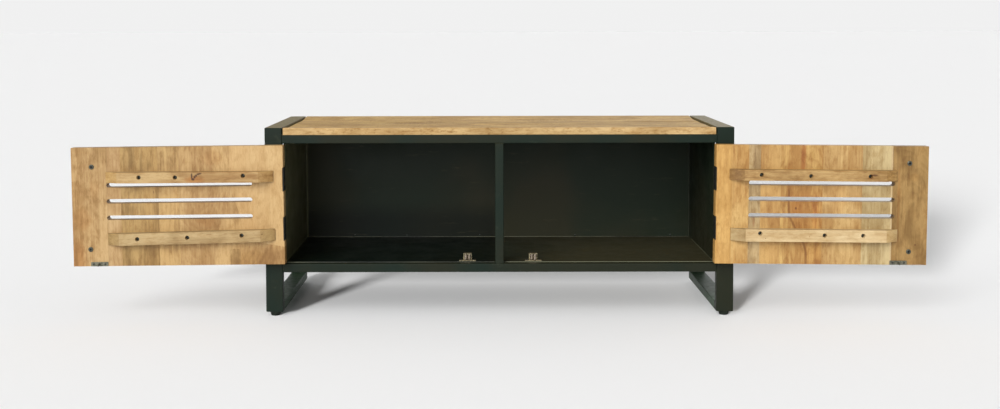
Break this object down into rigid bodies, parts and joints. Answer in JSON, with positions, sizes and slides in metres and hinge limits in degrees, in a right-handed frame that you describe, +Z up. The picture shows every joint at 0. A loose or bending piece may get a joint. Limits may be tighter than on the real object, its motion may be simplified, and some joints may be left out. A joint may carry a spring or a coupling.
{
  "type": "tv stand",
  "caption": "Low media cabinet with a welded black tube frame, sled legs, a wooden top and slotted wooden doors that swing flat open.",
  "frame": {"origin": "on the floor, below the middle of the bounding box at rest, with both doors open", "axes": "+X to the right seen from the front, along the cabinet's length; -Y out of the front; +Z up, out of the top surface"},
  "size_m": [1.9914, 0.4539, 0.445],
  "materials": {
    "frame_paint": "satin powder coat, near-black green",
    "sheet_paint": "satin paint, near black",
    "hinge_paint": "satin black",
    "plastic": "matt black",
    "top_wood": "oiled mango wood",
    "door_wood": "oiled mango wood",
    "batten_wood": "oiled mango wood",
    "hardware": "blackened steel",
    "bright_steel": "zinc plated",
    "roller_steel": "zinc plated, turned"
  },
  "bodies": {
    "cabinet": {"left_front_leg": "frame_paint", "right_front_leg": "frame_paint", "left_rear_leg": "frame_paint", "right_rear_leg": "frame_paint", "left_sled_bar": "frame_paint", "right_sled_bar": "frame_paint", "left_top_bar": "frame_paint", "right_top_bar": "frame_paint", "front_top_rail": "frame_paint", "rear_top_rail": "frame_paint", "front_bottom_rail": "frame_paint", "rear_bottom_rail": "frame_paint", "left_bottom_side_rail": "frame_paint", "right_bottom_side_rail": "frame_paint", "centre_post": "frame_paint", "floor_panel": "sheet_paint", "back_panel": "sheet_paint", "left_side_panel": "sheet_paint", "right_side_panel": "sheet_paint", "wood_top": "top_wood", "left_front_top_screw": "hardware", "left_rear_top_screw": "hardware", "right_front_top_screw": "hardware", "right_rear_top_screw": "hardware", "left_front_foot": "plastic", "left_rear_foot": "plastic", "right_front_foot": "plastic", "right_rear_foot": "plastic", "left_catch_body": "bright_steel", "right_catch_body": "bright_steel", "left_upper_hinge_frame_leaf": "hinge_paint", "left_lower_hinge_frame_leaf": "hinge_paint", "right_upper_hinge_frame_leaf": "hinge_paint", "right_lower_hinge_frame_leaf": "hinge_paint", "left_upper_hinge_pin": "hardware", "left_lower_hinge_pin": "hardware", "right_upper_hinge_pin": "hardware", "right_lower_hinge_pin": "hardware"},
    "left_door": {"left_door_panel": "door_wood", "left_upper_batten": "batten_wood", "left_lower_batten": "batten_wood", "left_handle": "hinge_paint", "left_upper_handle_bolt": "hardware", "left_lower_handle_bolt": "hardware", "left_strike": "bright_steel", "left_upper_hinge_door_leaf": "hinge_paint", "left_lower_hinge_door_leaf": "hinge_paint"},
    "left_roller_inner": {"left_catch_roller_inner": "roller_steel"},
    "left_roller_outer": {"left_catch_roller_outer": "roller_steel"},
    "right_door": {"right_door_panel": "door_wood", "right_upper_batten": "batten_wood", "right_lower_batten": "batten_wood", "right_handle": "hinge_paint", "right_upper_handle_bolt": "hardware", "right_lower_handle_bolt": "hardware", "right_strike": "bright_steel", "right_upper_hinge_door_leaf": "hinge_paint", "right_lower_hinge_door_leaf": "hinge_paint"},
    "right_roller_inner": {"right_catch_roller_inner": "roller_steel"},
    "right_roller_outer": {"right_catch_roller_outer": "roller_steel"}
  },
  "joints": [
    {"name": "left_door_hinge", "type": "hinge", "parent": "cabinet", "child": "left_door", "pos_m": [-0.5042, -0.17705, 0.268], "axis": [-0.0056, 0, 1], "range_deg": [-8, 180.56]},
    {"name": "right_door_hinge", "type": "hinge", "parent": "cabinet", "child": "right_door", "pos_m": [0.5042, -0.17705, 0.268], "axis": [0.0056, 0, 1], "range_deg": [-180.56, 8]},
    {"name": "left_roller_inner_slide", "type": "slide", "parent": "cabinet", "child": "left_roller_inner", "axis": [1, 0, 0], "range_m": [0, 0.002], "stiffness_N_per_m": 800, "springref_m": -0.0005},
    {"name": "left_roller_outer_slide", "type": "slide", "parent": "cabinet", "child": "left_roller_outer", "axis": [-1, 0, 0], "range_m": [0, 0.002], "stiffness_N_per_m": 800, "springref_m": -0.0005},
    {"name": "right_roller_inner_slide", "type": "slide", "parent": "cabinet", "child": "right_roller_inner", "axis": [-1, 0, 0], "range_m": [0, 0.002], "stiffness_N_per_m": 800, "springref_m": -0.0005},
    {"name": "right_roller_outer_slide", "type": "slide", "parent": "cabinet", "child": "right_roller_outer", "axis": [1, 0, 0], "range_m": [0, 0.002], "stiffness_N_per_m": 800, "springref_m": -0.0005}
  ]
}
